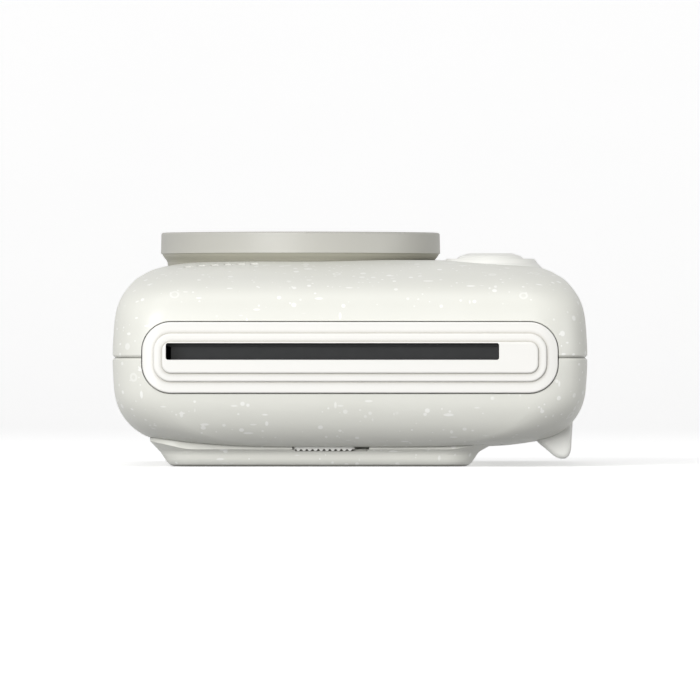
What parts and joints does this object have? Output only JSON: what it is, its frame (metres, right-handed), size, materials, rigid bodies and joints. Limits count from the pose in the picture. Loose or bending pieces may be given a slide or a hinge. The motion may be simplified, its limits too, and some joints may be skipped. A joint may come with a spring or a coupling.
{
  "type": "instant camera",
  "caption": "Pocket instant camera with a wide lens ring, shutter button on a low pad, print exit bezel, hinged film door with monitor, and strap lug.",
  "frame": {"origin": "under the middle of the body, on the surface that its raised back rests on", "axes": "+Z the way the lens looks, -Y the end the print comes out of, +X to the right of someone facing that end"},
  "size_m": [0.0824, 0.123, 0.041],
  "materials": {
    "shell_white": "satin, stone white with fine pale flecks",
    "panel_white": "satin gloss",
    "ring_greige": "fine satin",
    "lens_disc_grey": "satin with turned grooves",
    "key_white": "satin gloss",
    "key_grey": "satin gloss",
    "flap_grey": "matt",
    "black_plastic": "matt",
    "black_gloss": "gloss",
    "clear_glass": "polished",
    "screen_glass": "polished, dark",
    "lens_glass": "coated",
    "mirror": "polished",
    "reflector": "vacuum metallised",
    "steel": "brushed",
    "screw_steel": "black zinc",
    "spring_steel": "bright",
    "motor_can": "nickel plated",
    "gear_acetal": "natural acetal",
    "bush_brass": "turned",
    "board_green": "solder mask",
    "chip_black": "moulded",
    "battery_grey": "film wrap",
    "foam": "open cell foam"
  },
  "bodies": {
    "camera_body": {"front_shell": "shell_white", "rear_shell": "shell_white", "exit_bezel": "panel_white", "lens_ring": "ring_greige", "lens_panel": "lens_disc_grey", "lens_bezel": "black_gloss", "lens_cover_glass": "clear_glass", "lens_barrel": "black_plastic", "lens_elements": "lens_glass", "image_sensor": "chip_black", "selfie_mirror": "mirror", "flash_window": "clear_glass", "flash_reflector": "reflector", "flash_tube": "clear_glass", "flash_capacitor": "black_gloss", "shutter_collar": "key_white", "shutter_spring": "spring_steel", "shutter_switch": "chip_black", "speaker": "black_plastic", "battery": "battery_grey", "main_board": "board_green", "board_components": "chip_black", "board_screws": "screw_steel", "usb_socket": "steel", "card_socket": "steel", "case_screws": "screw_steel", "film_chamber": "black_plastic", "light_seal": "foam", "exposure_head": "black_plastic", "roller_frame": "black_plastic", "roller_bushes": "bush_brass", "idler_shaft": "steel", "motor": "motor_can", "hinge_pin": "steel", "strap_lug": "key_white"},
    "shutter": {"shutter_button": "key_white"},
    "power": {"power_button": "key_grey"},
    "shortcut_1": {"shortcut_button_1": "key_grey"},
    "shortcut_2": {"shortcut_button_2": "key_grey"},
    "shortcut_3": {"shortcut_button_3": "key_grey"},
    "door": {"film_door": "shell_white", "door_liner": "black_plastic", "pressure_springs": "spring_steel", "lcd_window": "screen_glass", "lcd_panel": "black_plastic", "control_board": "board_green"},
    "direction": {"direction_ring": "key_white"},
    "menu": {"menu_button": "key_white"},
    "playback": {"playback_button": "key_white"},
    "back_key": {"back_button": "key_white"},
    "print_key": {"print_button": "key_white"},
    "latch": {"latch_slider": "key_white"},
    "flap": {"exit_flap": "flap_grey"},
    "upper_roller": {"roller_upper": "steel", "roller_gear_upper": "gear_acetal"},
    "lower_roller": {"roller_lower": "steel", "roller_gear_lower": "gear_acetal"},
    "idler": {"idler_gear": "gear_acetal"},
    "pinion": {"motor_pinion": "bush_brass"},
    "claw": {"film_claw": "steel"}
  },
  "joints": [
    {"name": "shutter_press", "type": "slide", "parent": "camera_body", "child": "shutter", "axis": [0, 0, -1], "range_m": [0, 0.0008], "stiffness_N_per_m": 500, "springref_m": -0.0008, "deforming": ["shutter_spring"]},
    {"name": "power_press", "type": "slide", "parent": "camera_body", "child": "power", "axis": [-1, 0, 0], "range_m": [0, 0.0004], "stiffness_N_per_m": 400, "springref_m": -0.0005},
    {"name": "shortcut_1_press", "type": "slide", "parent": "camera_body", "child": "shortcut_1", "axis": [1, 0, 0], "range_m": [0, 0.0004], "stiffness_N_per_m": 400, "springref_m": -0.0005},
    {"name": "shortcut_2_press", "type": "slide", "parent": "camera_body", "child": "shortcut_2", "axis": [1, 0, 0], "range_m": [0, 0.0004], "stiffness_N_per_m": 400, "springref_m": -0.0005},
    {"name": "shortcut_3_press", "type": "slide", "parent": "camera_body", "child": "shortcut_3", "axis": [1, 0, 0], "range_m": [0, 0.0004], "stiffness_N_per_m": 400, "springref_m": -0.0005},
    {"name": "door_swing", "type": "hinge", "parent": "camera_body", "child": "door", "pos_m": [0, 0.0512, 0.0024], "axis": [1, 0, 0], "range_deg": [0, 85]},
    {"name": "direction_tilt", "type": "hinge", "parent": "door", "child": "direction", "pos_m": [-0.00575, 0.032, 0.0017], "axis": [1, 0, 0], "range_deg": [-1.5, 1.5], "stiffness_Nm_per_rad": 0.05},
    {"name": "menu_press", "type": "slide", "parent": "door", "child": "menu", "axis": [0, 0, 1], "range_m": [0, 0.0003], "stiffness_N_per_m": 400, "springref_m": -0.0005},
    {"name": "playback_press", "type": "slide", "parent": "door", "child": "playback", "axis": [0, 0, 1], "range_m": [0, 0.0003], "stiffness_N_per_m": 400, "springref_m": -0.0005},
    {"name": "back_press", "type": "slide", "parent": "door", "child": "back_key", "axis": [0, 0, 1], "range_m": [0, 0.0003], "stiffness_N_per_m": 400, "springref_m": -0.0005},
    {"name": "print_press", "type": "slide", "parent": "door", "child": "print_key", "axis": [0, 0, 1], "range_m": [0, 0.0003], "stiffness_N_per_m": 400, "springref_m": -0.0005},
    {"name": "latch_slide", "type": "slide", "parent": "door", "child": "latch", "axis": [1, 0, 0], "range_m": [0, 0.0022]},
    {"name": "flap_swing", "type": "hinge", "parent": "camera_body", "child": "flap", "pos_m": [0, -0.0593, 0.0212], "axis": [-1, 0, 0], "range_deg": [0, 70], "stiffness_Nm_per_rad": 0.0002, "springref_deg": -17.19},
    {"name": "upper_roller_spin", "type": "hinge", "parent": "camera_body", "child": "upper_roller", "pos_m": [0, -0.052, 0.0234], "axis": [1, 0, 0], "continuous": true},
    {"name": "lower_roller_spin", "type": "hinge", "parent": "camera_body", "child": "lower_roller", "pos_m": [0, -0.052, 0.0166], "axis": [1, 0, 0], "continuous": true},
    {"name": "idler_spin", "type": "hinge", "parent": "camera_body", "child": "idler", "pos_m": [0, -0.0472, 0.02014], "axis": [1, 0, 0], "continuous": true},
    {"name": "pinion_spin", "type": "hinge", "parent": "camera_body", "child": "pinion", "pos_m": [0, -0.0446, 0.0277], "axis": [1, 0, 0], "continuous": true},
    {"name": "claw_stroke", "type": "slide", "parent": "camera_body", "child": "claw", "axis": [0, -1, 0], "range_m": [0, 0.006]}
  ],
  "couplings": [
    {"joint": "lower_roller_spin", "follows": "upper_roller_spin", "ratio": -1},
    {"joint": "idler_spin", "follows": "upper_roller_spin", "ratio": -1.4167},
    {"joint": "pinion_spin", "follows": "upper_roller_spin", "ratio": 4.25}
  ]
}
